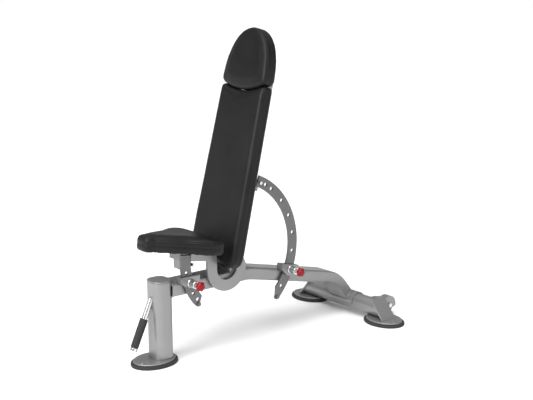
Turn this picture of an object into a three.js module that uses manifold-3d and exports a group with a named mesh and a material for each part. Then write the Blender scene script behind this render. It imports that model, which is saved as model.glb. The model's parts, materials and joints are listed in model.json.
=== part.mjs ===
// Adjustable weight bench: a steel frame with a tilting backrest and a tilting seat.
// Millimetres, +Z up. +Y runs from the front column to the rear wheels, +X is the knob side.
// Lengths along Y are counted from the front column's axis; the whole bench is then centred.
import * as THREE from 'three';
import { mergeVertices } from 'three/addons/utils/BufferGeometryUtils.js';
import Module from 'manifold-3d';

const wasm = await Module();
wasm.setup();

// ---------- driving dimensions ----------
const GAP = 0.3;                                  // clearance between touching pieces
const MIDDLE_Y = 474.93;                          // middle of the bench along Y, from the column
const BACK_REST = 75;                             // backrest angle as modelled, degrees
const SEAT_REST = 9;                              // seat angle as modelled, degrees
const PIVOT = { y: 313, z: 378 };                 // axis that backrest and seat share

const FOOT = { long: 94, short: 74.5, padTop: 13, plateTop: 19, rim: 9, boltRadius: 7 };
const FRONT_FOOT_Y = -29;
const REAR_FOOT_X = 230;
const COLUMN = { halfX: 45, halfY: 39, corner: 31, wall: 3.5, top: 312 };
const BEAM = { half: 50, height: 50, wall: 3.5, middleZ: 278, slope: 12.7, endSlope: 50 };
const CROSS = { y: 965, radius: 36, wall: 3.5, topX: 192, endSlope: 50 };
const CROSS_Z = FOOT.plateTop + GAP + CROSS.radius;
const WHEEL = { x: [160, 184], y: 1042, z: 50, radius: 34, bore: 6.3 };
const FENDER = { wall: 4, room: 2 };

const LADDER = { x: [54, 62], backRadius: 288, seatRadius: 236, half: 22 };
const PIN = { radius: 6.5, backAngle: -22.5, seatAngle: 198.5, tipX: 62.6 };
const BACK_HOLES = [-15, 0, 15, 30, 45, 60, 75, 82];
const SEAT_HOLES = [-9, 0, 12, 20.5];
const BRACKET = { x: [40, 74], slack: 1.8, end: 35 };
const BARREL = { from: 74.3, length: 37, radius: 15 };
const KNOB = { x: [124, 147], radius: 17.5, lobe: 1.5 };
const EAR = { x: [39, 50], halfWidth: 23 };
const AXLE = { radius: 10, x: [-61, 74] };
const HUB = { radius: 23.4, bore: 14.5 };
const HOOK = { x: [52, 64], y: -46, z: -49, inner: 48, outer: 92 };

const BACK_TUBE = { half: 37, depth: 48, rear: -67, lean: 2.4, start: -14, end: 690 };
const PAD_LEAN = { back: 1, seat: 2 };              // pads against their own steelwork, degrees
const BACK_PAD = { from: -54, to: 636, under: 24, top: 74, skirt: 0, lowHalf: 146, highHalf: 131 };
const HEAD_PAD = { from: 619, to: 856, under: 21, top: 80, skirt: 0, half: 128 };
const SEAT_PAD = { front: -398, rear: -119, under: 17, top: 67, skirt: 7 };
const SEAT_WIDTHS = [                             // [distance along the seat, half-width]
  [-366, 42], [-340, 58], [-300, 78], [-260, 96], [-222, 122], [-177, 148],
];
const BOARD = { thick: 12, edge: 16 };            // plywood let into the underside of each pad
const SEAT_TUBE = { x: [-14, 51.5], top: 1, low: -30, front: -256, rear: -96 };

// ---------- finishes ----------
function finish(color, roughness, metalness) {
  return new THREE.MeshStandardMaterial({ color, roughness, metalness });
}
const SILVER = finish(0xa4a6a8, 0.42, 0.55);
const DARK_SILVER = finish(0x7d7f82, 0.45, 0.55);
const CHROME = finish(0xdcdfe2, 0.12, 1);
const ZINC = finish(0xb9bcc0, 0.35, 0.9);
const RUBBER = finish(0x141414, 0.85, 0);
const GRIP = finish(0x1d1d1e, 0.9, 0);
const RED = finish(0xb5121b, 0.35, 0);
const VINYL = finish(0x1b1b1c, 0.5, 0);
const PLYWOOD = finish(0x6e5a41, 0.8, 0);
const NYLON = finish(0x2b2b2c, 0.55, 0);

// ---------- solid helpers ----------
const rad = THREE.MathUtils.degToRad;
const SIDE = new THREE.Matrix4().makeBasis(
  new THREE.Vector3(0, 1, 0), new THREE.Vector3(0, 0, 1), new THREE.Vector3(1, 0, 0));

function weld(geometry) {
  const bare = geometry.clone();
  bare.deleteAttribute('normal');
  bare.deleteAttribute('uv');
  return mergeVertices(bare, 1e-4);
}

function solid(geometry) {
  const merged = weld(geometry);
  return new wasm.Manifold(new wasm.Mesh({
    numProp: 3,
    vertProperties: Float32Array.from(merged.attributes.position.array),
    triVerts: Uint32Array.from(merged.index.array),
  }));
}

function geometryOf(body) {
  const mesh = body.getMesh();
  const geometry = new THREE.BufferGeometry();
  geometry.setAttribute('position', new THREE.BufferAttribute(mesh.vertProperties, 3));
  geometry.setIndex(new THREE.BufferAttribute(mesh.triVerts, 1));
  return geometry;
}

function mirrorX(geometry) {
  const flipped = weld(geometry).scale(-1, 1, 1);
  flipped.index.array.reverse();
  return flipped;
}

function cut(base, ...tools) {
  return geometryOf(tools.reduce((body, tool) => body.subtract(solid(tool)), solid(base)));
}

function join(base, ...others) {
  return geometryOf(others.reduce((body, other) => body.add(solid(other)), solid(base)));
}

function extrude(shape, depth, round = 0, steps = 10) {
  const geometry = new THREE.ExtrudeGeometry(shape, {
    depth: depth - 2 * round,
    bevelEnabled: round > 0,
    bevelSize: round,
    bevelThickness: round,
    bevelOffset: -round,
    bevelSegments: 2,
    curveSegments: steps,
  });
  return geometry.translate(0, 0, round);
}

// A shape drawn in the YZ plane, made solid from x0 to x1.
function side(shape, [x0, x1], round = 0, steps = 10) {
  return extrude(shape, x1 - x0, round, steps).applyMatrix4(SIDE).translate(x0, 0, 0);
}

// A shape drawn in the XY plane, made solid from z0 to z1.
function slab(shape, [z0, z1], round = 0, steps = 10) {
  return extrude(shape, z1 - z0, round, steps).translate(0, 0, z0);
}

function block([x0, x1], [y0, y1], [z0, z1]) {
  const box = new THREE.BoxGeometry(x1 - x0, y1 - y0, z1 - z0);
  return box.translate((x0 + x1) / 2, (y0 + y1) / 2, (z0 + z1) / 2);
}

function rodX(radius, [x0, x1], y, z, sides = 24) {
  const rod = new THREE.CylinderGeometry(radius, radius, x1 - x0, sides);
  return rod.rotateZ(-Math.PI / 2).translate((x0 + x1) / 2, y, z);
}

function rodZ(radius, [z0, z1], x, y, sides = 20) {
  const rod = new THREE.CylinderGeometry(radius, radius, z1 - z0, sides);
  return rod.rotateX(Math.PI / 2).translate(x, y, (z0 + z1) / 2);
}

function polygon(points) {
  return new THREE.Shape(points.map(([a, b]) => new THREE.Vector2(a, b)));
}

function ellipse(a, b) {
  return new THREE.Shape().absellipse(0, 0, a, b, 0, 2 * Math.PI);
}

function roundedRectangle(halfA, halfB, corner) {
  const shape = new THREE.Shape();
  shape.absarc(halfA - corner, halfB - corner, corner, 0, Math.PI / 2);
  shape.absarc(corner - halfA, halfB - corner, corner, Math.PI / 2, Math.PI);
  shape.absarc(corner - halfA, corner - halfB, corner, Math.PI, 1.5 * Math.PI);
  shape.absarc(halfA - corner, corner - halfB, corner, 1.5 * Math.PI, 2 * Math.PI);
  return shape;
}

// A flat ring sector about (0, 0), angles in degrees.
function sector(inner, outer, from, to) {
  const shape = new THREE.Shape();
  shape.absarc(0, 0, outer, rad(from), rad(to), false);
  shape.absarc(0, 0, inner, rad(to), rad(from), true);
  return shape;
}

function polar(radius, degrees) {
  return { y: radius * Math.cos(rad(degrees)), z: radius * Math.sin(rad(degrees)) };
}

// ---------- scene graph ----------
const bench = new THREE.Group();
const frame = new THREE.Group();
const back = new THREE.Group();
const seat = new THREE.Group();
const seatTop = new THREE.Group();
const backCushions = new THREE.Group();
const seatCushion = new THREE.Group();
frame.position.set(0, -MIDDLE_Y, 0);
back.position.set(0, PIVOT.y, PIVOT.z);
back.rotation.x = rad(BACK_REST);
seat.position.set(0, PIVOT.y, PIVOT.z);
seatTop.rotation.x = -rad(SEAT_REST);
backCushions.rotation.x = rad(PAD_LEAN.back);
seatCushion.rotation.x = rad(PAD_LEAN.seat);
back.add(backCushions);
seatTop.add(seatCushion);
seat.add(seatTop);
frame.add(back, seat);
bench.add(frame);

function put(group, name, geometry, material) {
  const mesh = new THREE.Mesh(geometry, material);
  mesh.name = name;
  group.add(mesh);
  return mesh;
}

// ---------- feet ----------
function footShape(alongX, inset) {
  const long = FOOT.long - inset;
  const short = FOOT.short - inset;
  return alongX ? ellipse(long, short) : ellipse(short, long);
}

function foot(label, x, y, alongX, bolt) {
  const pad = slab(footShape(alongX, 0), [0, FOOT.padTop], 4, 13).translate(x, y, 0);
  const low = FOOT.padTop + GAP;
  const plate = slab(footShape(alongX, FOOT.rim), [low, FOOT.plateTop], 1.5, 13);
  put(frame, `${label}_foot_rubber`, pad, RUBBER);
  const headZ = [FOOT.plateTop - 1, FOOT.plateTop + 3.5];
  const head = rodZ(FOOT.boltRadius, headZ, x + bolt[0], y + bolt[1], 16);
  put(frame, `${label}_foot_plate`, join(plate.translate(x, y, 0), head), SILVER);
}

// ---------- front column ----------
function columnShape(inset) {
  return roundedRectangle(COLUMN.halfX - inset, COLUMN.halfY - inset, COLUMN.corner - inset);
}

function column() {
  const base = FOOT.plateTop + GAP;
  const outer = slab(columnShape(0), [base, COLUMN.top], 0, 6);
  const bore = slab(columnShape(COLUMN.wall), [base - 1, COLUMN.top + 1], 0, 6);
  put(frame, 'front_column', cut(outer, bore), SILVER);
  const cap = slab(columnShape(0), [COLUMN.top + GAP, COLUMN.top + 6], 2, 4);
  put(frame, 'column_cap', cap, SILVER);
}

// The lifting handle leans forward from the column's front face.
function handle() {
  const lean = 24.5;
  const pose = new THREE.Matrix4().makeRotationX(rad(180 - lean)).setPosition(0, -36, 252);
  const columnSkin = slab(columnShape(-GAP), [0, COLUMN.top], 0, 6);
  const tube = rodZ(11, [0, 79.7], 0, 0, 20).applyMatrix4(pose);
  put(frame, 'handle_tube', cut(tube, columnSkin), CHROME);
  const sleeve = new THREE.LatheGeometry([
    new THREE.Vector2(0, 80), new THREE.Vector2(15, 80), new THREE.Vector2(16, 83),
    new THREE.Vector2(15, 190), new THREE.Vector2(0, 190),
  ], 20).rotateX(Math.PI / 2).applyMatrix4(pose);
  put(frame, 'handle_grip', sleeve, GRIP);
  put(frame, 'handle_end_cap', rodZ(13.5, [190.3, 202], 0, 0, 20).applyMatrix4(pose), CHROME);
}

// ---------- main beam ----------
// The beam's middle line in the YZ plane: level, a bend, a long fall, then a curve to the rear.
function beamLine(offset, inset) {
  const steps = 6;
  const points = [];
  const bend = (y, z, radius, from, to) => {
    for (let i = 0; i <= steps; i += 1) {
      const angle = rad(from + ((to - from) * i) / steps);
      const reach = radius + offset;
      points.push([y + reach * Math.sin(angle), z + reach * Math.cos(angle)]);
    }
  };
  const bendRadius = 200;
  const bendY = 370;
  const tailRadius = 150;
  const tail = { y: 785, z: 38 };
  points.push([COLUMN.halfY - 14 - inset, BEAM.middleZ + offset]);
  bend(bendY, BEAM.middleZ - bendRadius, bendRadius, 0, BEAM.slope);
  bend(tail.y, tail.z, tailRadius, BEAM.slope, BEAM.endSlope);
  const last = points[points.length - 1];
  const length = 75 + inset;
  points.push([
    last[0] + length * Math.cos(rad(BEAM.endSlope)),
    last[1] - length * Math.sin(rad(BEAM.endSlope)),
  ]);
  return points;
}

function beamProfile(inset) {
  const reach = BEAM.height / 2 - inset;
  return polygon([...beamLine(-reach, inset), ...beamLine(reach, inset).reverse()]);
}

function saddleRing(inner, outer) {
  return side(sector(inner, outer, -20, 185), [-78, 78], 0, 16).translate(0, CROSS.y, CROSS_Z);
}

function beam() {
  const half = BEAM.half;
  const wall = BEAM.wall;
  const outer = side(beamProfile(0), [-half, half], 9);
  const bore = side(beamProfile(wall), [wall - half, half - wall], 7);
  const columnSkin = slab(columnShape(-GAP), [0, COLUMN.top + 20], 0, 6);
  const saddleSkin = rodX(CROSS.radius + 5 + GAP, [-90, 90], CROSS.y, CROSS_Z, 48);
  put(frame, 'main_beam', cut(outer, bore, columnSkin, saddleSkin), SILVER);
}

// ---------- rear cross tube ----------
// Everything beyond the slanted plane at the tube's +X end; the plane leans out to the floor.
function beyondEnd(shift) {
  const big = 400;
  const tool = new THREE.BoxGeometry(big, big, big).translate(big / 2 + shift, 0, 0);
  tool.rotateY(-rad(90 - CROSS.endSlope));
  return tool.translate(CROSS.topX, CROSS.y, CROSS_Z + CROSS.radius);
}

function crossTube() {
  const reach = 320;
  const tube = rodX(CROSS.radius, [-reach, reach], CROSS.y, CROSS_Z, 32);
  const bore = rodX(CROSS.radius - CROSS.wall, [-reach - 1, reach + 1], CROSS.y, CROSS_Z, 32);
  const ends = [beyondEnd(0), mirrorX(beyondEnd(0))];
  put(frame, 'cross_tube', cut(tube, bore, ...ends), SILVER);
  put(frame, 'beam_saddle', saddleRing(CROSS.radius + GAP, CROSS.radius + 5), SILVER);
}

function endPlate() {
  const thickness = 6;
  const half = CROSS.radius + 3;
  const stock = block([150, 300], [CROSS.y - half, CROSS.y + half],
    [FOOT.plateTop + GAP, CROSS_Z + half]);
  return geometryOf(solid(stock)
    .intersect(solid(beyondEnd(GAP)))
    .subtract(solid(beyondEnd(thickness))));
}

// ---------- transport wheels ----------
// A sheet-metal arch over each wheel, open below and welded to the back of the cross tube.
function wheelFender() {
  const { wall, room } = FENDER;
  const x = [WHEEL.x[0] - room, WHEEL.x[1] + room];
  const arch = WHEEL.radius + room;
  const reach = arch + wall;
  const outline = new THREE.Shape();
  outline.moveTo(CROSS.y, CROSS_Z + CROSS.radius - 12);
  outline.lineTo(CROSS.y, CROSS_Z + CROSS.radius + 3);
  outline.lineTo(CROSS.y + 20, CROSS_Z + CROSS.radius + 3);
  outline.absarc(WHEEL.y, WHEEL.z, reach, rad(115), rad(-12), true);
  outline.lineTo(WHEEL.y + 14, WHEEL.z - 18);
  outline.lineTo(WHEEL.y - 14, WHEEL.z - 18);
  outline.lineTo(CROSS.y + 20, CROSS_Z - 6);
  const inside = join(
    rodX(arch, x, WHEEL.y, WHEEL.z, 28),
    block(x, [WHEEL.y - arch, WHEEL.y + arch], [0, WHEEL.z]),
  );
  return cut(
    side(outline, [x[0] - wall, x[1] + wall], 1, 8),
    inside,
    rodX(CROSS.radius + GAP, [100, 260], CROSS.y, CROSS_Z, 32),
    rodX(WHEEL.bore, [100, 260], WHEEL.y, WHEEL.z, 16),
  );
}

function wheelBolt() {
  const ends = [WHEEL.x[0] - 16, WHEEL.x[1] + 14];
  const heads = [[ends[0], ends[0] + 9], [ends[1] - 7, ends[1]]];
  return join(
    rodX(6, ends, WHEEL.y, WHEEL.z, 16),
    ...heads.map((x) => rodX(10, x, WHEEL.y, WHEEL.z, 6)),
  );
}

function wheelTyre() {
  const half = (WHEEL.x[1] - WHEEL.x[0]) / 2;
  const middle = (WHEEL.x[1] + WHEEL.x[0]) / 2;
  const turned = new THREE.LatheGeometry([
    new THREE.Vector2(WHEEL.bore, -half), new THREE.Vector2(WHEEL.radius - 3, -half),
    new THREE.Vector2(WHEEL.radius, 3 - half), new THREE.Vector2(WHEEL.radius, half - 3),
    new THREE.Vector2(WHEEL.radius - 3, half), new THREE.Vector2(WHEEL.bore, half),
    new THREE.Vector2(WHEEL.bore, -half),
  ], 32);
  return turned.rotateZ(-Math.PI / 2).translate(middle, WHEEL.y, WHEEL.z);
}

// ---------- pivot ----------
function pivotEar() {
  const foot = BEAM.middleZ + BEAM.height / 2 + GAP - PIVOT.z;
  const outline = new THREE.Shape();
  outline.moveTo(-EAR.halfWidth, foot);
  outline.lineTo(EAR.halfWidth + 18, foot);
  outline.lineTo(EAR.halfWidth, 0);
  outline.absarc(0, 0, EAR.halfWidth, 0, Math.PI, false);
  return cut(
    side(outline, EAR.x, 1).translate(0, PIVOT.y, PIVOT.z),
    rodX(AXLE.radius + GAP, [0, 90], PIVOT.y, PIVOT.z),
  );
}

function pivotAxle() {
  const [far, near] = AXLE.x;
  const head = rodX(16, [near - 7, near], PIVOT.y, PIVOT.z, 6);
  put(frame, 'pivot_bolt', join(rodX(AXLE.radius, AXLE.x, PIVOT.y, PIVOT.z), head), ZINC);
  const nut = cut(
    rodX(16, [EAR.x[1] + GAP, -far - 2], PIVOT.y, PIVOT.z, 6),
    rodX(AXLE.radius + GAP, [0, 90], PIVOT.y, PIVOT.z),
  );
  put(frame, 'pivot_nut', mirrorX(nut), ZINC);
}

// ---------- lock brackets and pull pins ----------
function pinPlace(radius, degrees) {
  const at = polar(radius, degrees);
  return { y: PIVOT.y + at.y, z: PIVOT.z + at.z };
}

const FRONT_PIN = pinPlace(LADDER.seatRadius, PIN.seatAngle);
const REAR_PIN = pinPlace(LADDER.backRadius, PIN.backAngle);

// A folded steel housing beside the beam that a ladder plate slides through.
function lockBracket(name, pin, tilt, outline) {
  const [inner, outer] = LADDER.x;
  const place = (g) => g.rotateX(-rad(tilt)).translate(0, pin.y, pin.z);
  const pocketX = [inner - BRACKET.slack, outer + BRACKET.slack];
  const pocket = block(pocketX, [-BRACKET.end, BRACKET.end], [-60, 60]);
  const beamSkin = side(beamProfile(-GAP), [-BEAM.half - GAP, BEAM.half + GAP], 9);
  const bore = rodX(PIN.radius + GAP, [outer, 120], pin.y, pin.z, 20);
  const body = place(side(polygon(outline), BRACKET.x, 1.5));
  put(frame, name, cut(body, place(pocket), beamSkin, bore), SILVER);
}

function lockBarrel(name, pin) {
  const bore = PIN.radius + GAP;
  const { radius, length } = BARREL;
  const profile = [[bore, 0], [radius + 2, 0], [radius + 2, 5], [radius, 7], [radius, length - 2],
    [radius - 2, length], [bore, length], [bore, length - 4], [9, length - 4], [9, 5],
    [bore, 5], [bore, 0]];
  const barrel = new THREE.LatheGeometry(profile.map(([r, h]) => new THREE.Vector2(r, h)), 24);
  put(frame, name, barrel.rotateZ(-Math.PI / 2).translate(BARREL.from, pin.y, pin.z), CHROME);
}

function knobOutline() {
  const points = 36;
  return polygon(Array.from({ length: points }, (_, i) => {
    const angle = (i / points) * 2 * Math.PI;
    const reach = KNOB.radius + KNOB.lobe * Math.cos(6 * angle);
    return [reach * Math.cos(angle), reach * Math.sin(angle)];
  }));
}

// The plunger, its return spring at closed length, and the knob that pulls both outwards.
function pullPin(label, pin) {
  const end = KNOB.x[0] + 6;
  const collar = rodX(8.4, [80, 83], pin.y, pin.z, 20);
  const shank = rodX(PIN.radius, [PIN.tipX, end], pin.y, pin.z, 20);
  put(frame, `${label}_plunger`, join(shank, collar), CHROME);
  const coil = cut(
    rodX(8.4, [83.3, 93], pin.y, pin.z, 20),
    rodX(PIN.radius + GAP, [80, 95], pin.y, pin.z, 20),
  );
  put(frame, `${label}_plunger_spring`, coil, ZINC);
  const grip = side(knobOutline(), KNOB.x, 3).translate(0, pin.y, pin.z);
  const bore = rodX(PIN.radius + GAP, [100, end + GAP], pin.y, pin.z, 20);
  put(frame, `${label}_pin_knob`, cut(grip, bore), RED);
}

// ---------- ladders ----------
// The lower end of a ladder plate, drawn in to a round tip about its stop bolt.
function ladderTip(radius, tip) {
  const steps = 8;
  const onward = Math.sign(tip.degrees - tip.from);
  const centre = polar(tip.radius, tip.degrees);
  const round = Array.from({ length: steps + 1 }, (_, i) => {
    const at = polar(LADDER.half / 2, tip.degrees + (onward * 180 * i) / steps);
    return [centre.y + at.y, centre.z + at.z];
  });
  const inner = polar(radius - LADDER.half, tip.from);
  const outer = polar(radius + LADDER.half, tip.from);
  return side(polygon([[outer.y, outer.z], ...round, [inner.y, inner.z]]), LADDER.x);
}

// A plate on a circle about the pivot, drilled once for each angle that the pin can hold.
function ladder(radius, from, to, tip, holes, pinAngle) {
  const { half, x } = LADDER;
  const plate = join(
    side(sector(radius - half, radius + half, from, to), x, 0, 22),
    ladderTip(radius, tip),
    ladderBolt(tip.radius, tip.degrees, x[0] + 2),
  );
  const drills = holes.map((step) => {
    const at = polar(radius, pinAngle + step);
    return rodX(PIN.radius + 1.2, [x[0] - 1, x[1] + 1], at.y, at.z, 12);
  });
  return cut(plate, ...drills);
}

function ladderBolt(radius, degrees, start) {
  const at = polar(radius, degrees);
  return rodX(7, [start, LADDER.x[1] + 7], at.y, at.z, 14);
}

// ---------- backrest ----------
// The backrest's spine, laid along +Y and leaning a little towards the pads.
function spine(grow, from, to) {
  const { half, depth, rear, lean } = BACK_TUBE;
  const shape = roundedRectangle(half + grow, depth / 2 + grow, 9 + grow);
  return extrude(shape, to - from, 0, 4).rotateX(-Math.PI / 2).translate(0, from, 0)
    .rotateX(rad(lean)).translate(0, 0, rear + depth / 2);
}

function backTube() {
  const { start, end } = BACK_TUBE;
  const bore = spine(-3, start - 1, end + 1);
  const hubSkin = rodX(HUB.radius + GAP, [-60, 60], 0, 0, 32);
  put(back, 'back_tube', cut(spine(0, start, end), bore, hubSkin), SILVER);
  put(back, 'back_tube_cap', spine(0, end + GAP, end + 5), NYLON);
}

function backHub() {
  const reach = EAR.x[0] - 0.6;
  const hub = rodX(HUB.radius, [-reach, reach], 0, 0, 32);
  const bore = rodX(HUB.bore, [-60, 60], 0, 0, 28);
  put(back, 'back_hub', cut(hub, bore), SILVER);
  const bush = cut(
    rodX(HUB.bore - GAP, [reach - 22, reach], 0, 0, 28),
    rodX(AXLE.radius + GAP, [0, 60], 0, 0, 28),
  );
  put(back, 'back_bush_near', bush, NYLON);
  put(back, 'back_bush_far', mirrorX(bush), NYLON);
}

function backLadder() {
  const flat = (degrees) => degrees - BACK_REST;
  const tip = { radius: LADDER.backRadius + 11, degrees: flat(-46.5), from: flat(-41) };
  const plate = ladder(
    LADDER.backRadius, flat(-41.3), flat(68), tip, BACK_HOLES, flat(PIN.backAngle));
  put(back, 'back_ladder', plate, DARK_SILVER);
  const bolt = ladderBolt(LADDER.backRadius - 4, flat(65.3), LADDER.x[1] + GAP);
  put(back, 'back_ladder_bolt', bolt, ZINC);
  const lug = block([BACK_TUBE.half + GAP, LADDER.x[0] - GAP], [246, 292], [-49, -20]);
  put(back, 'back_ladder_lug', lug, SILVER);
}

// A cross plate under a board, standing on the spine.
function padBracket(name, y, half, top) {
  const length = 36;
  const along = [y - length / 2, y + length / 2];
  const plate = block([-half, half], along, [top - 5, top]);
  const post = block([-30, 30], along, [-30, top - 4]);
  const stand = join(plate, post).rotateX(rad(PAD_LEAN.back));
  put(back, name, cut(stand, spine(GAP, BACK_TUBE.start, BACK_TUBE.end + 10)), SILVER);
}

// The long pad narrows towards the head and has a shallow scoop at the top.
function backOutline(inset) {
  const low = BACK_PAD.lowHalf - inset;
  const high = BACK_PAD.highHalf - inset;
  const start = BACK_PAD.from + inset;
  const end = BACK_PAD.to - inset;
  const shape = new THREE.Shape();
  shape.moveTo(45 - low, start);
  shape.lineTo(low - 45, start);
  shape.quadraticCurveTo(low, start, low, start + 50);
  shape.lineTo(high, end - 16);
  shape.quadraticCurveTo(high, end, high - 18, end);
  shape.quadraticCurveTo(0, end - 40, 18 - high, end);
  shape.quadraticCurveTo(-high, end, -high, end - 16);
  shape.lineTo(-low, start + 50);
  shape.quadraticCurveTo(-low, start, 45 - low, start);
  return shape;
}

// The head pad is a shield: a convex lower edge, widest low down, closing to a round top.
function headOutline(inset) {
  const wide = HEAD_PAD.half - inset;
  const low = HEAD_PAD.from + inset;
  const high = HEAD_PAD.to - inset;
  const shape = new THREE.Shape();
  shape.moveTo(22 - wide, low + 18);
  shape.quadraticCurveTo(0, low - 18, wide - 22, low + 18);
  shape.quadraticCurveTo(wide, low + 24, wide, low + 46);
  shape.bezierCurveTo(wide, low + 152, 75, high, 0, high);
  shape.bezierCurveTo(-75, high, -wide, low + 152, -wide, low + 46);
  shape.quadraticCurveTo(-wide, low + 24, 22 - wide, low + 18);
  return shape;
}

// Foam under vinyl, wrapped down round a board that is let into its underside; the skirt
// is how far the foam hangs below the board.
function cushion(group, label, outline, pad, steps) {
  const boardTop = pad.under + BOARD.thick;
  const board = slab(outline(BOARD.edge), [pad.under, boardTop], 0, steps);
  const low = pad.under - pad.skirt;
  const foam = slab(outline(0), [low, pad.top], 11, steps);
  const recess = slab(outline(BOARD.edge - GAP), [low - 1, boardTop + GAP], 0, steps);
  put(group, `${label}_board`, board, PLYWOOD);
  put(group, `${label}_pad`, cut(foam, recess), VINYL);
}

// ---------- seat ----------
// The seat pad has a narrow rounded nose between the legs and flares towards the backrest.
function seatOutline(inset) {
  const tip = SEAT_PAD.front + inset;
  const end = SEAT_PAD.rear - inset;
  const flat = 16 - inset / 4;
  const right = SEAT_WIDTHS.map(([y, half]) => new THREE.Vector2(half - inset, y));
  const left = right.map(({ x, y }) => new THREE.Vector2(-x, y)).reverse();
  const nose = right[0];
  const flare = left[0];
  const corner = SEAT_PAD.rear - 22;
  const shape = new THREE.Shape();
  shape.moveTo(-flat, tip);
  shape.lineTo(flat, tip);
  shape.quadraticCurveTo(nose.x, tip, nose.x, nose.y);
  shape.splineThru(right.slice(1));
  shape.lineTo(-flare.x, corner);
  shape.quadraticCurveTo(-flare.x, end, -flare.x - 22, end);
  shape.lineTo(flare.x + 22, end);
  shape.quadraticCurveTo(flare.x, end, flare.x, corner);
  shape.lineTo(flare.x, flare.y);
  shape.splineThru(left.slice(1));
  shape.quadraticCurveTo(-nose.x, tip, -flat, tip);
  return shape;
}

function seatFrame() {
  const { x, top, low, front, rear } = SEAT_TUBE;
  const wall = 3;
  const tube = cut(
    block(x, [front, rear], [low, top]),
    block([x[0] + wall, x[1] - wall], [front + wall, rear + 1], [low + wall, top - wall]),
  );
  put(seatTop, 'seat_tube', tube, SILVER);
  const underPad = (y) => SEAT_PAD.under + y * Math.sin(rad(PAD_LEAN.seat)) - GAP;
  const bar = (name, y, half) => {
    const along = [y - 19, y + 19];
    put(seatTop, name, block([-half, half], along, [top + GAP, underPad(along[0])]), SILVER);
  };
  bar('seat_bar_front', -236, 48);
  bar('seat_bar_rear', -157, 104);
}

// The seat swings on this plate: a bar under the seat and a hook that clears the back pad.
function seatHook() {
  const { x, y, z, inner, outer } = HOOK;
  const boss = HUB.radius - 0.4;
  const ring = side(sector(inner, outer, 180, 360), x, 0, 14).translate(0, y, z);
  const bar = block(x, [-250, -94.5], [SEAT_TUBE.low, SEAT_TUBE.top]).rotateX(-rad(SEAT_REST));
  const leftArm = side(polygon([[y - outer, z], [y - inner, z], [y - inner, -2], [y - outer, 2]]), x);
  const rightArm = side(polygon([[y + inner, z], [y + outer, z], [boss - 1, 6], [-6, -boss + 2]]), x);
  const ladderSkin = side(
    sector(LADDER.seatRadius - LADDER.half - GAP, 330, 150, 200), [x[0] - 1, x[1] + 1], 0, 12);
  return cut(
    join(ring, bar, leftArm, rightArm, rodX(boss, x, 0, 0, 28)),
    ladderSkin,
    rodX(AXLE.radius + GAP, [0, 90], 0, 0),
  );
}

function seatLinks() {
  put(seat, 'seat_hook', seatHook(), SILVER);
  const tip = { radius: LADDER.seatRadius + 10, degrees: 222.8, from: 219.8 };
  const plate = ladder(LADDER.seatRadius, 173, 220.1, tip, SEAT_HOLES, PIN.seatAngle);
  put(seat, 'seat_ladder', plate, DARK_SILVER);
  const drop = new THREE.Shape();
  drop.moveTo(-240, -31);
  drop.lineTo(-195, -31);
  drop.lineTo(-195, 20);
  drop.lineTo(-240, 20);
  const skin = block([-60, 60], [-300, -80], [SEAT_TUBE.low - GAP, 40]).rotateX(-rad(SEAT_REST));
  put(seat, 'seat_drop_box', cut(side(drop, [-13, 38], 2, 4), skin), SILVER);
  put(seat, 'seat_stop_pin', rodX(6, [38.3, 68], -203, -12.5, 18), CHROME);
}

// ---------- assembly ----------
function bothSides(name, make, material) {
  put(frame, `${name}_near`, make(), material);
  put(frame, `${name}_far`, mirrorX(make()), material);
}

foot('front', 0, FRONT_FOOT_Y, false, [20, -66]);
foot('rear_near', REAR_FOOT_X, CROSS.y + 2, true, [66, -14]);
foot('rear_far', -REAR_FOOT_X, CROSS.y + 2, true, [-66, -14]);
column();
handle();
beam();
crossTube();
bothSides('cross_end_plate', endPlate, SILVER);
bothSides('wheel_fender', wheelFender, SILVER);
bothSides('wheel', wheelTyre, RUBBER);
bothSides('wheel_bolt', wheelBolt, ZINC);
bothSides('pivot_ear', pivotEar, SILVER);
pivotAxle();

const FRONT_HOUSING = [[-40, 24], [-40, 2], [-24, -11], [24, -11], [44, 2], [44, 24]];
const REAR_HOUSING = [[-46, 19], [-47, -2], [-12, -27], [8, -28], [24, -20], [43, -2], [43, 19]];
lockBracket('front_lock_bracket', FRONT_PIN, 0, FRONT_HOUSING.reverse());
lockBracket('rear_lock_bracket', REAR_PIN, BEAM.slope, REAR_HOUSING.reverse());
lockBarrel('front_pin_barrel', FRONT_PIN);
lockBarrel('rear_pin_barrel', REAR_PIN);
pullPin('front', FRONT_PIN);
pullPin('rear', REAR_PIN);

backTube();
backHub();
backLadder();
padBracket('pad_bracket_low', 150, 92, BACK_PAD.under - GAP);
padBracket('pad_bracket_high', 500, 84, BACK_PAD.under - GAP);
padBracket('head_bracket', 672, 60, HEAD_PAD.under - GAP);
cushion(backCushions, 'back', backOutline, BACK_PAD, 6);
cushion(backCushions, 'head', headOutline, HEAD_PAD, 8);
cushion(seatCushion, 'seat', seatOutline, SEAT_PAD, 3);
seatFrame();
seatLinks();

export default bench;
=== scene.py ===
"""Looks of the adjustable weight bench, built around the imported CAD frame. Metres, +Z up."""

import json
import math

import bmesh
import bpy
from mathutils import Matrix, Vector


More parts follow.
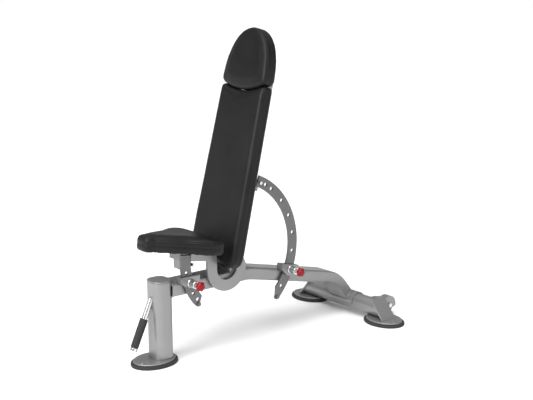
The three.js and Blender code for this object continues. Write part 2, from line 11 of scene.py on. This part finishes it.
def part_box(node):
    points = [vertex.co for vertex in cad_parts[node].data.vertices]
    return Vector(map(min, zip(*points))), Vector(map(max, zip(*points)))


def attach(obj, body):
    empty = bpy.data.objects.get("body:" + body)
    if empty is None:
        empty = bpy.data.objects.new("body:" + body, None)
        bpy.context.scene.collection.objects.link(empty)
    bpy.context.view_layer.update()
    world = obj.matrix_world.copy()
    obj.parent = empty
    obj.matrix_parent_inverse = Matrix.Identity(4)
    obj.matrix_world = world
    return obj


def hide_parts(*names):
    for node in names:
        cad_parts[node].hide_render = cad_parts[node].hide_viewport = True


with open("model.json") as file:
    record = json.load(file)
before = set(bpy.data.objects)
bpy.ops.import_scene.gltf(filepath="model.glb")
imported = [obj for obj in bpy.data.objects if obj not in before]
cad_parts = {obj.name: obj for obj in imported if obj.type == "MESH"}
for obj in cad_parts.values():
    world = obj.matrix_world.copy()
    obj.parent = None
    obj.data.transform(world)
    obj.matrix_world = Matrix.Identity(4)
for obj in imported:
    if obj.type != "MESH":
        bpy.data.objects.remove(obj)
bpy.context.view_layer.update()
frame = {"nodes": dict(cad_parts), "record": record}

SCENE = bpy.context.scene

# ---------- driving dimensions: millimetres and degrees, Y counted from the front column ----------
MM = 0.001
MIDDLE_Y = 474.93
PIVOT_Y = 313
PIVOT_Z = 378
COLUMN_X = 45                                     # half-widths of the oval column
COLUMN_Y = 39
COLUMN_CORNER = 31
BEAM_LOW = 253
BEAM_TOP = 303
BEAM_HALF = 50
BEAM_FALL = 50                                    # slope of the beam's rear end
CROSS_Y = 965
CROSS_Z = 55.3
CROSS_RADIUS = 36
CROSS_TOP_X = 192                                 # end of the cross tube along its top
PLATE_RISE = math.tan(math.radians(40))           # how far the slanted end runs out as it drops
BACK_LEAN = 76
SEAT_LEAN = -7
HANDLE_LEAN = 24.5
HANDLE_Y = -36
HANDLE_Z = 252

PIVOT = Vector((0, (PIVOT_Y - MIDDLE_Y) * MM, PIVOT_Z * MM))


def at(x, y, z):
    """A point given in millimetres, with Y counted from the front column's axis."""
    return Vector((x * MM, (y - MIDDLE_Y) * MM, z * MM))


# ---------- materials ----------
def surface(name, color, roughness, metallic=0.0, coat=0.0):
    """A Principled material, with its node tree and its shader."""
    made = bpy.data.materials.new(name)
    made.use_nodes = True
    shader = made.node_tree.nodes["Principled BSDF"]
    shader.inputs["Base Color"].default_value = (*color, 1)
    shader.inputs["Roughness"].default_value = roughness
    shader.inputs["Metallic"].default_value = metallic
    shader.inputs["Coat Weight"].default_value = coat
    return made, made.node_tree, shader


def texture(tree, kind, scale, **settings):
    """A procedural texture in object space."""
    place = tree.nodes.new("ShaderNodeTexCoord")
    node = tree.nodes.new(kind)
    node.inputs["Scale"].default_value = scale
    for key, value in settings.items():
        node.inputs[key].default_value = value
    tree.links.new(place.outputs["Object"], node.inputs["Vector"])
    return node


def bump(tree, shader, source, strength, depth):
    node = tree.nodes.new("ShaderNodeBump")
    node.inputs["Strength"].default_value = strength
    node.inputs["Distance"].default_value = depth
    tree.links.new(source, node.inputs["Height"])
    tree.links.new(node.outputs["Normal"], shader.inputs["Normal"])
    return node


def tint(tree, shader, source, low, high):
    """Lets the colour wander between two close tones."""
    ramp = tree.nodes.new("ShaderNodeValToRGB")
    ramp.color_ramp.elements[0].position = 0.35
    ramp.color_ramp.elements[1].position = 0.7
    ramp.color_ramp.elements[0].color = (*low, 1)
    ramp.color_ramp.elements[1].color = (*high, 1)
    tree.links.new(source, ramp.inputs["Fac"])
    tree.links.new(ramp.outputs["Color"], shader.inputs["Base Color"])


def polish(tree, shader, source, low, high):
    """Lets the roughness wander between two values."""
    node = tree.nodes.new("ShaderNodeMapRange")
    node.inputs["To Min"].default_value = low
    node.inputs["To Max"].default_value = high
    tree.links.new(source, node.inputs["Value"])
    tree.links.new(node.outputs["Result"], shader.inputs["Roughness"])


def powder_coat(name, tone):
    """Metallic powder coat: fine orange peel, tiny flakes, slow drift in tone."""
    made, tree, shader = surface(name, (tone, tone, tone * 1.01), 0.34, 0.6, 0.12)
    shader.inputs["Coat Roughness"].default_value = 0.35
    drift = texture(tree, "ShaderNodeTexNoise", 7, Detail=3)
    low, high = tone * 0.94, tone * 1.05
    tint(tree, shader, drift.outputs["Fac"], (low, low, low), (high, high, high * 1.01))
    flakes = texture(tree, "ShaderNodeTexNoise", 900, Detail=2)
    polish(tree, shader, flakes.outputs["Fac"], 0.28, 0.42)
    bump(tree, shader, flakes.outputs["Fac"], 0.12, 0.0003)
    return made


def plating(name, color, low, high):
    made, tree, shader = surface(name, color, low, 1.0)
    smear = texture(tree, "ShaderNodeTexNoise", 60, Detail=4)
    polish(tree, shader, smear.outputs["Fac"], low, high)
    bump(tree, shader, smear.outputs["Fac"], 0.03, 0.0004)
    return made


def upholstery():
    """Black vinyl with a fine pebbled grain and a soft sheen."""
    made, tree, shader = surface("vinyl_black", (0.005, 0.005, 0.0055), 0.42)
    shader.inputs["Specular IOR Level"].default_value = 0.22
    wear = texture(tree, "ShaderNodeTexNoise", 9, Detail=4)
    tint(tree, shader, wear.outputs["Fac"], (0.005, 0.005, 0.0055), (0.009, 0.009, 0.010))
    polish(tree, shader, wear.outputs["Fac"], 0.36, 0.5)
    grain = texture(tree, "ShaderNodeTexVoronoi", 620, Randomness=0.9)
    bump(tree, shader, grain.outputs["Distance"], 0.3, 0.0005)
    return made


def rubber(name, tone, grain_size):
    made, tree, shader = surface(name, (tone, tone, tone), 0.8)
    grain = texture(tree, "ShaderNodeTexNoise", grain_size, Detail=3)
    tint(tree, shader, grain.outputs["Fac"], (tone * 0.8,) * 3, (tone * 1.3,) * 3)
    polish(tree, shader, grain.outputs["Fac"], 0.68, 0.9)
    bump(tree, shader, grain.outputs["Fac"], 0.25, 0.0005)
    return made


def moulded(name, color, roughness, coat):
    made, tree, shader = surface(name, color, roughness, 0, coat)
    shader.inputs["Specular IOR Level"].default_value = 0.25
    skin = texture(tree, "ShaderNodeTexNoise", 240, Detail=2)
    darker = tuple(c * 0.88 for c in color)
    tint(tree, shader, skin.outputs["Fac"], darker, color)
    bump(tree, shader, skin.outputs["Fac"], 0.06, 0.0003)
    return made


def stained_board():
    made, tree, shader = surface("board_stained", (0.03, 0.026, 0.022), 0.7)
    wood = texture(tree, "ShaderNodeTexWave", 22, Distortion=6, Detail=3)
    tint(tree, shader, wood.outputs["Fac"], (0.018, 0.016, 0.014), (0.05, 0.042, 0.034))
    bump(tree, shader, wood.outputs["Fac"], 0.2, 0.0004)
    return made


SILVER = powder_coat("coat_silver", 0.25)
# The ladder's coat is the silver coat at about half the tone: painted shade standing in for the shadow
# the pads cast on the ladder.
SHADED_LADDER_COAT = powder_coat("coat_ladder_painted_shade", 0.13)
CHROME = plating("chrome_bright", (0.66, 0.67, 0.68), 0.2, 0.32)
ZINC = plating("zinc_bright", (0.62, 0.63, 0.64), 0.26, 0.42)
VINYL = upholstery()
RUBBER = rubber("rubber_black", 0.02, 300)
GRIP = rubber("grip_black", 0.017, 700)
RED = moulded("knob_red", (0.24, 0.003, 0.005), 0.32, 0.05)
NYLON = moulded("nylon_black", (0.03, 0.03, 0.032), 0.5, 0)
BOARD = stained_board()
SLOTS = {
    "silver_paint": SILVER,
    "ladder_paint": SHADED_LADDER_COAT,
    "chrome": CHROME,
    "zinc": ZINC,
    "rubber": RUBBER,
    "grip": GRIP,
    "red_plastic": RED,
    "vinyl": VINYL,
    "plywood": BOARD,
    "nylon": NYLON,
}


# ---------- CAD nodes: finishes and softened edges ----------
def dress(node, made):
    """Gives a CAD node its finish, and rounds its edges with modifiers only."""
    node.data.materials.clear()
    node.data.materials.append(made)
    for face in node.data.polygons:
        face.use_smooth = True
    weld = node.modifiers.new("weld", "WELD")
    weld.merge_threshold = 1e-5
    planar = node.modifiers.new("planar", "DECIMATE")
    planar.decimate_type = "DISSOLVE"
    planar.angle_limit = math.radians(1)
    edge = node.modifiers.new("edge", "BEVEL")
    edge.width = 0.7 * MM
    edge.segments = 2
    edge.limit_method = "ANGLE"
    edge.angle_limit = math.radians(32)
    normals = node.modifiers.new("normals", "WEIGHTED_NORMAL")
    normals.weight = 100


for part in frame["record"]["subparts"]:
    dress(frame["nodes"][part["node"]], SLOTS[part["material_slot"]])


# ---------- mesh helpers ----------
def piece(name, mesh, made, body):
    """A finished piece: linked, smooth, and riding on its CAD body."""
    obj = bpy.data.objects.new(name, mesh)
    SCENE.collection.objects.link(obj)
    mesh.materials.clear()
    mesh.materials.append(made)
    for face in mesh.polygons:
        face.use_smooth = True
    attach(obj, body)
    return obj


def tube_mesh(points, radii, closed, sides=10):
    """A tube through the points, one radius for each point."""
    count = len(points)
    centre = sum(points, Vector()) / count
    bm = bmesh.new()
    rings = []
    for i, point in enumerate(points):
        after = points[(i + 1) % count] if closed or i < count - 1 else point
        before = points[i - 1] if closed or i > 0 else point
        along = (after - before).normalized()
        out = point - centre
        out = out - along * out.dot(along)
        if out.length < 1e-6:
            out = along.orthogonal()
        out.normalize()
        other = along.cross(out)
        ring = []
        for k in range(sides):
            angle = 2 * math.pi * k / sides
            spot = out * math.cos(angle) + other * math.sin(angle)
            ring.append(bm.verts.new(point + spot * radii[i]))
        rings.append(ring)
    spans = count if closed else count - 1
    for i in range(spans):
        a, b = rings[i], rings[(i + 1) % count]
        for k in range(sides):
            bm.faces.new((a[k], a[(k + 1) % sides], b[(k + 1) % sides], b[k]))
    if not closed:
        bm.faces.new(rings[0])
        bm.faces.new(rings[-1][::-1])
    bmesh.ops.recalc_face_normals(bm, faces=bm.faces)
    mesh = bpy.data.meshes.new("tube")
    bm.to_mesh(mesh)
    bm.free()
    return mesh


def resample(points, step, closed):
    """Evenly spaced points along a polyline."""
    path = points + [points[0]] if closed else points
    total = sum((b - a).length for a, b in zip(path, path[1:]))
    count = max(4, round(total / step))
    targets = [total * i / count for i in range(count if closed else count + 1)]
    made, walked, k = [], 0.0, 0
    for target in targets:
        while k < len(path) - 2 and walked + (path[k + 1] - path[k]).length < target:
            walked += (path[k + 1] - path[k]).length
            k += 1
        span = (path[k + 1] - path[k]).length or 1e-9
        made.append(path[k].lerp(path[k + 1], min(1.0, (target - walked) / span)))
    return made


def weld_bead(name, points, closed, radius=2.6):
    """A welded seam: a low rippled bead lying in the corner between two tubes."""
    path = resample(points, 1.6 * MM, closed)
    radii = [radius * MM * (1 + 0.13 * math.sin(2.1 * i)) for i in range(len(path))]
    mesh = tube_mesh(path, radii, closed, 8)
    return piece(name, mesh, SILVER, "frame")


def grid_of_revolution(profile, origin, axis, sides, lobe=None):
    """Turns (distance along axis, radius) pairs about an axis; lobe scales radius by angle."""
    axis = Vector(axis).normalized()
    first = axis.orthogonal().normalized()
    second = axis.cross(first)
    bm = bmesh.new()
    rings = []
    for along, radius in profile:
        ring = []
        for k in range(sides):
            angle = 2 * math.pi * k / sides
            reach = radius * (lobe(angle) if lobe else 1)
            spot = first * math.cos(angle) + second * math.sin(angle)
            ring.append(bm.verts.new(origin + axis * along * MM + spot * reach * MM))
        rings.append(ring)
    for a, b in zip(rings, rings[1:]):
        for k in range(sides):
            bm.faces.new((a[k], a[(k + 1) % sides], b[(k + 1) % sides], b[k]))
    bm.faces.new(rings[0])
    bm.faces.new(rings[-1][::-1])
    bmesh.ops.recalc_face_normals(bm, faces=bm.faces)
    mesh = bpy.data.meshes.new("turned")
    bm.to_mesh(mesh)
    bm.free()
    return mesh


# ---------- pads ----------
BACK_TILT = Matrix.Translation(PIVOT) @ Matrix.Rotation(math.radians(BACK_LEAN), 4, "X")
SEAT_TILT = Matrix.Translation(PIVOT) @ Matrix.Rotation(math.radians(SEAT_LEAN), 4, "X")
DRAW_IN = 0.4 * MM                                # keeps the faces clear of each other
SIDEWAYS = 0.08                                   # share of the sideways cloth motion that is kept
FLAT_UNDERSIDE = -0.5                             # a normal pointing further down than this
VOXEL = 5 * MM
CLOTH_FRAMES = 20
EVEN_ROUNDS = 12
SEAM_RADIUS = 0.9
SEAM_INSET = 0.2
CHANNEL_DEPTH = 1.4 * MM
CHANNEL_WIDTH = 2.4 * MM


def flat_copy(node, tilt, grow):
    """The CAD pad as a new mesh, laid flat in its own frame, with its side walls moved out."""
    bm = bmesh.new()
    bm.from_mesh(frame["nodes"][node].data)
    bm.transform(tilt.inverted())
    bmesh.ops.remove_doubles(bm, verts=bm.verts, dist=1e-5)
    bmesh.ops.recalc_face_normals(bm, faces=bm.faces)
    for vert in bm.verts:
        if vert.normal.z > FLAT_UNDERSIDE:
            way = vert.normal
            vert.co += Vector((way.x * grow, way.y * grow, -max(way.z, 0) * DRAW_IN))
    mesh = bpy.data.meshes.new(node)
    bm.to_mesh(mesh)
    bm.free()
    return mesh


def evaluated(obj):
    graph = bpy.context.evaluated_depsgraph_get()
    return bpy.data.meshes.new_from_object(obj.evaluated_get(graph))


def even_out(mesh, moves, rounds):
    """Averages each point's motion with its neighbours', which takes out creases."""
    for _ in range(rounds):
        sums = [move.copy() for move in moves]
        counts = [1] * len(moves)
        for edge in mesh.edges:
            a, b = edge.vertices
            sums[a] += moves[b]
            sums[b] += moves[a]
            counts[a] += 1
            counts[b] += 1
        moves = [total / count for total, count in zip(sums, counts)]
    return moves


def inflate(obj, under, cap):
    """Swells the pad as cloth under pressure, and caps how far each point may move."""
    group = obj.vertex_groups.new(name="held")
    held = [
        v.index for v in obj.data.vertices
        if v.co.z < under + 4 * MM or v.normal.z < FLAT_UNDERSIDE
    ]
    group.add(held, 1.0, "REPLACE")
    rest = [v.co.copy() for v in obj.data.vertices]
    cloth = obj.modifiers.new("cloth", "CLOTH")
    cloth.settings.use_pressure = True
    cloth.settings.uniform_pressure_force = 4
    cloth.settings.effector_weights.gravity = 0
    cloth.settings.vertex_group_mass = "held"
    cloth.settings.tension_stiffness = 40
    cloth.settings.bending_stiffness = 10
    cloth.point_cache.frame_start = 1
    cloth.point_cache.frame_end = CLOTH_FRAMES
    for number in range(1, CLOTH_FRAMES + 1):
        SCENE.frame_set(number)
    swollen = evaluated(obj)
    obj.modifiers.clear()
    moves = [moved.co - start for start, moved in zip(rest, swollen.vertices)]
    for vert, start, move in zip(obj.data.vertices, rest, even_out(obj.data, moves, EVEN_ROUNDS)):
        move.x *= SIDEWAYS
        move.y *= SIDEWAYS
        if move.length > cap:
            move *= cap / move.length
        vert.co = start + move
    SCENE.frame_set(1)


def groove(obj, height, depth, width):
    """Presses a sewn channel into the sides at one height above the board."""
    normals = [v.normal.copy() for v in obj.data.vertices]
    for vert, normal in zip(obj.data.vertices, normals):
        offset = (vert.co.z - height) / width
        side = Vector((normal.x, normal.y, 0))
        if abs(offset) < 3 and side.length > 0.3:
            vert.co -= side.normalized() * depth * math.exp(-offset * offset)


def contour(mesh, height):
    """The closed line where the mesh crosses a level plane, in order."""
    bm = bmesh.new()
    bm.from_mesh(mesh)
    cut = bmesh.ops.bisect_plane(
        bm, geom=bm.verts[:] + bm.edges[:] + bm.faces[:],
        plane_co=(0, 0, height), plane_no=(0, 0, 1))
    links = {}
    for edge in (g for g in cut["geom_cut"] if isinstance(g, bmesh.types.BMEdge)):
        a, b = edge.verts
        links.setdefault(a, []).append(b)
        links.setdefault(b, []).append(a)
    start = max(links, key=lambda v: v.co.length)
    line, before, here = [start.co.copy()], None, start
    while True:
        ahead = [v for v in links[here] if v is not before]
        if not ahead or ahead[0] is start:
            break
        before, here = here, ahead[0]
        line.append(here.co.copy())
    bm.free()
    return line


def relax(points, rounds):
    for _ in range(rounds):
        count = len(points)
        points = [
            (points[i - 1] + points[i] * 2 + points[(i + 1) % count]) / 4 for i in range(count)
        ]
    return points


def seam(name, mesh, height, tilt, body, radius, inset):
    """A raised line of stitching round the pad at one height."""
    path = relax(resample(contour(mesh, height), 3 * MM, True), 3)
    centre = sum(path, Vector()) / len(path)
    path = [p - (p - centre).normalized() * inset * MM for p in path]
    radii = [radius * MM * (1 + 0.1 * (i % 2)) for i in range(len(path))]
    bead = tube_mesh(path, radii, True, 8)
    bead.transform(tilt)
    return piece(name, bead, VINYL, body)


def pad(name, node, tilt, body, under, cap, seams, grow):
    """One cushion: remeshed CAD pad, swollen as cloth, with sewn channels and seam lines."""
    shape = bpy.data.objects.new(name + "_work", flat_copy(node, tilt, grow * MM))
    SCENE.collection.objects.link(shape)
    remesh = shape.modifiers.new("remesh", "REMESH")
    remesh.mode = "VOXEL"
    remesh.voxel_size = VOXEL
    shape.data = evaluated(shape)
    shape.modifiers.clear()
    inflate(shape, under * MM, cap * MM)
    smooth = shape.modifiers.new("smooth", "SMOOTH")
    smooth.factor = 0.5
    smooth.iterations = 4
    finer = shape.modifiers.new("finer", "SUBSURF")
    finer.levels = 1
    finer.render_levels = 1
    shape.data = evaluated(shape)
    shape.modifiers.clear()
    for height in seams:
        groove(shape, height * MM, CHANNEL_DEPTH, CHANNEL_WIDTH)
    mesh = shape.data.copy()
    bpy.data.objects.remove(shape)
    for index, height in enumerate(seams):
        seam(f"{name}_seam_{index}", mesh, height * MM, tilt, body, SEAM_RADIUS, SEAM_INSET)
    mesh.transform(tilt)
    cushion = piece(name, mesh, VINYL, body)
    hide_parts(node)


pad("back_cushion", "back_pad", BACK_TILT, "backrest", 24, 4, (46, 66), 1.2)
pad("head_cushion", "head_pad", BACK_TILT, "backrest", 21, 6, (48, 72), 1.2)
pad("seat_cushion", "seat_pad", SEAT_TILT, "seat", 10, 8, (38, 58), -0.4)


# ---------- knobs and grip ----------
def knob(name, node, body):
    """A six-lobed, ball-like pull knob with a small flat on its end."""
    low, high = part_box(node)
    centre = Vector((low.x, (low.y + high.y) / 2, (low.z + high.z) / 2))
    length = (high.x - low.x) / MM
    profile = [(0, 9.5), (0.7, 11.8), (2.4, 14.3), (5.2, 16.4), (length * 0.4, 17.5),
               (length * 0.62, 17.3), (length - 5.4, 15.8), (length - 2.6, 13.4),
               (length - 0.8, 10.2), (length, 7)]

    def lobes(angle):
        return 1 + 0.075 * math.cos(6 * angle)

    mesh = grid_of_revolution(profile, centre, (1, 0, 0), 72, lobes)
    made = piece(name, mesh, RED, body)
    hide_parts(node)
    return made


def ribbed_grip():
    """The rubber sleeve on the lifting handle, with shallow ribs and rolled ends."""
    lean = math.radians(HANDLE_LEAN)
    axis = Vector((0, -math.sin(lean), -math.cos(lean)))
    origin = at(0, HANDLE_Y, HANDLE_Z)
    start, end, ribs = 80.0, 190.0, 22
    profile = [(start, 12.5), (start + 1, 15.2)]
    pitch = (end - start - 8) / ribs
    for index in range(ribs):
        base = start + 4 + index * pitch
        reach = 15.4 - 0.6 * index / ribs
        profile += [(base, reach - 0.7), (base + pitch * 0.25, reach),
                    (base + pitch * 0.7, reach), (base + pitch * 0.95, reach - 0.7)]
    profile += [(end - 1.5, 15.2), (end, 12.5)]
    mesh = grid_of_revolution(profile, origin, axis, 40)
    made = piece("grip_sleeve", mesh, GRIP, "frame")
    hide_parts("handle_grip")
    return made


knob("front_knob", "front_pin_knob", "front_pin")
knob("rear_knob", "rear_pin_knob", "rear_pin")
ribbed_grip()


# ---------- welds ----------
def column_outline(grow, z):
    """The part of the column's outline that the beam wraps, from one side to the other."""
    half_x = COLUMN_X + grow
    half_y = COLUMN_Y + grow
    corner = COLUMN_CORNER + grow
    made = []
    for sign, angles in ((1, range(0, 91, 10)), (-1, range(90, 181, 10))):
        for degrees in angles:
            angle = math.radians(degrees)
            made.append(at(sign * (half_x - corner) + corner * math.cos(angle),
                           half_y - corner + corner * math.sin(angle), z))
    return [p for p in made if p.y > (27 - MIDDLE_Y) * MM]


def column_weld():
    top = column_outline(1.4, BEAM_TOP + 0.6)
    low = column_outline(1.4, BEAM_LOW - 0.4)
    weld_bead("weld_column_top", top, False)
    weld_bead("weld_column_low", low, False)


def saddle_weld():
    """Where the beam's falling end meets the saddle on the cross tube."""
    ring = CROSS_RADIUS + 7
    half_height = 25.6
    half_width = BEAM_HALF + 0.6
    slope = math.radians(BEAM_FALL)
    ahead = (math.cos(slope), -math.sin(slope))
    across = (math.sin(slope), math.cos(slope))

    def spot(u, x):
        back = math.sqrt(ring * ring - u * u)
        y = CROSS_Y - ahead[0] * back + across[0] * u
        return at(x, y, CROSS_Z - ahead[1] * back + across[1] * u)

    steps = 12
    loop = [spot(half_height, -half_width + 2 * half_width * i / steps) for i in range(steps + 1)]
    loop += [spot(half_height - 2 * half_height * i / steps, half_width) for i in range(1, steps)]
    loop += [spot(-half_height, half_width - 2 * half_width * i / steps) for i in range(steps + 1)]
    loop += [spot(-half_height + 2 * half_height * i / steps, -half_width) for i in range(1, steps)]
    weld_bead("weld_saddle", loop, True)


def end_weld(label, sign):
    """Round the cross tube, just inside the slanted end plate."""
    radius = CROSS_RADIUS + 1
    loop = []
    for i in range(48):
        angle = 2 * math.pi * i / 48
        z = CROSS_Z + radius * math.sin(angle)
        x = CROSS_TOP_X + (CROSS_Z + CROSS_RADIUS - z) * PLATE_RISE - 1.8
        loop.append(at(sign * x, CROSS_Y + radius * math.cos(angle), max(z, 21.5)))
    weld_bead(f"weld_end_{label}", loop, True, 2.2)


def straight_weld(name, start, end):
    weld_bead(name, [at(*start), at(*end)], False, 2.2)


column_weld()
saddle_weld()
end_weld("near", 1)
end_weld("far", -1)
straight_weld("weld_front_bracket", (38.6, 54, BEAM_TOP + 1.2), (38.6, 128, BEAM_TOP + 1.2))
straight_weld("weld_ear_near", (51.2, 292, BEAM_TOP + 0.6), (51.2, 350, BEAM_TOP + 0.6))
straight_weld("weld_ear_far", (-51.2, 292, BEAM_TOP + 0.6), (-51.2, 350, BEAM_TOP + 0.6))


# ---------- camera, floor, light ----------
def camera():
    data = bpy.data.cameras.new("camera")
    data.sensor_width = 36
    data.lens = 63.58
    view = bpy.data.objects.new("camera", data)
    view.location = at(2815, -1836, 1299)
    view.rotation_euler = (math.radians(90 - 11.57), 0, math.radians(50.13))
    SCENE.collection.objects.link(view)
    SCENE.camera = view


def floor():
    reach = 400
    bm = bmesh.new()
    corners = [(-reach, -reach), (reach, -reach), (reach, reach), (-reach, reach)]
    bm.faces.new([bm.verts.new((x, y, 0)) for x, y in corners])
    mesh = bpy.data.meshes.new("floor")
    bm.to_mesh(mesh)
    bm.free()
    made = surface("floor_pale", (0.95, 0.95, 0.95), 0.9)[0]
    mesh.materials.append(made)
    ground = bpy.data.objects.new("floor", mesh)
    SCENE.collection.objects.link(ground)


def area_light(name, place, target, size, power):
    data = bpy.data.lights.new(name, "AREA")
    data.size = size
    data.energy = power
    lamp = bpy.data.objects.new(name, data)
    lamp.location = place
    aim = Vector(target) - Vector(place)
    lamp.rotation_euler = aim.to_track_quat("-Z", "Y").to_euler()
    SCENE.collection.objects.link(lamp)


def soft_sun():
    """A broad, low-contrast light from the front, so the floor stays evenly white."""
    data = bpy.data.lights.new("sun", "SUN")
    data.energy = 2.6
    data.angle = math.radians(50)
    lamp = bpy.data.objects.new("sun", data)
    lamp.rotation_euler = (math.radians(28), math.radians(18), 0)
    SCENE.collection.objects.link(lamp)


def studio():
    """A white horizon, dark walls above it and a bright ceiling, which give the steel its contrast."""
    world = bpy.data.worlds.new("studio")
    world.use_nodes = True
    tree = world.node_tree
    background = tree.nodes["Background"]
    background.inputs["Strength"].default_value = 1.0
    sky = tree.nodes.new("ShaderNodeTexCoord")
    split = tree.nodes.new("ShaderNodeSeparateXYZ")
    ramp = tree.nodes.new("ShaderNodeValToRGB")
    stops = ramp.color_ramp.elements
    for place, shade in ((0.0, 1.0), (0.04, 1.0), (0.16, 0.3), (0.55, 0.25), (0.85, 0.9)):
        stop = stops[0] if place == 0.0 else stops.new(place)
        stop.position = place
        stop.color = (shade, shade, shade, 1)
    tree.links.new(sky.outputs["Generated"], split.inputs["Vector"])
    tree.links.new(split.outputs["Z"], ramp.inputs["Fac"])
    tree.links.new(ramp.outputs["Color"], background.inputs["Color"])
    SCENE.world = world
    soft_sun()
    area_light("key", (0.4, -3.6, 2.4), (0, 0, 0.5), 1.6, 90)
    area_light("side", (3.8, 0.6, 2.2), (0, 0, 0.5), 1.2, 22)
    SCENE.view_settings.view_transform = "Standard"


camera()
floor()
studio()
